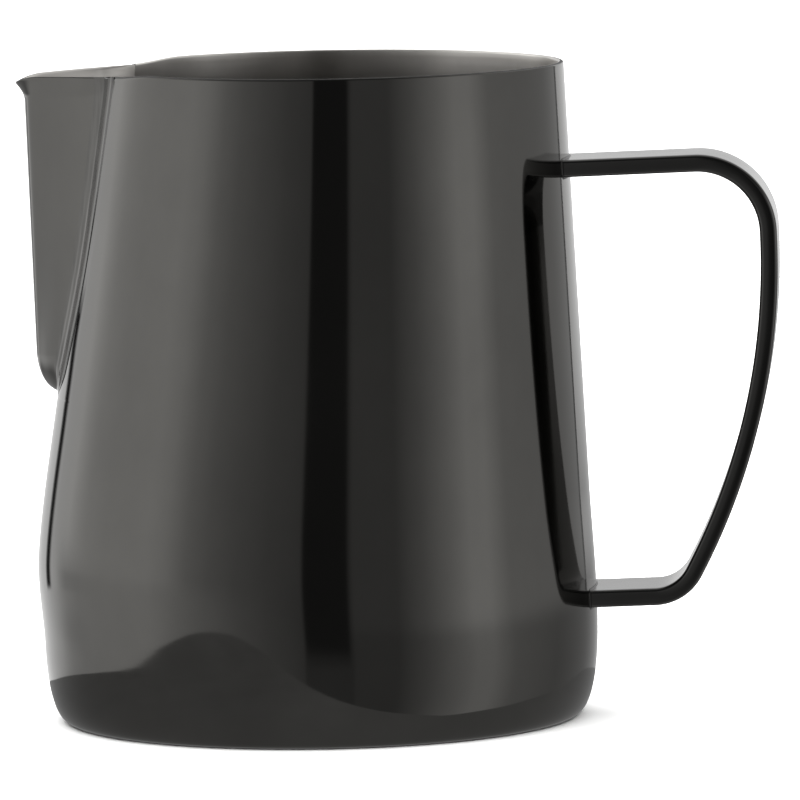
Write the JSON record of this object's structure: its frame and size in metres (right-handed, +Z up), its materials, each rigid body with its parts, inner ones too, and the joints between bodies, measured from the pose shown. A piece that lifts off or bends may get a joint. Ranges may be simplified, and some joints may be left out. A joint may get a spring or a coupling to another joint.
{
  "type": "milk frothing pitcher",
  "caption": "Polished gunmetal steel pitcher for steaming milk, with a tapered cup, a welded V spout and a bent flat-bar handle.",
  "frame": {"origin": "centre of the resting face, on the axis of the round part of the cup", "axes": "+Z up through the open rim, +X towards the handle, spout at -X, the part is symmetric about Y = 0"},
  "size_m": [0.1255, 0.0916, 0.108],
  "materials": {
    "gunmetal_cup": "mirror-polished stainless steel with a dark gunmetal coating outside, satin inside",
    "gunmetal_bar": "polished stainless flat bar with the same dark gunmetal coating",
    "weld_bead": "dressed and polished weld bead under the same dark coating"
  },
  "bodies": {
    "root": {"body_shell": "gunmetal_cup", "spout": "gunmetal_cup", "spout_weld": "weld_bead", "handle": "gunmetal_bar", "handle_weld_upper": "weld_bead", "handle_weld_lower": "weld_bead"}
  },
  "joints": []
}
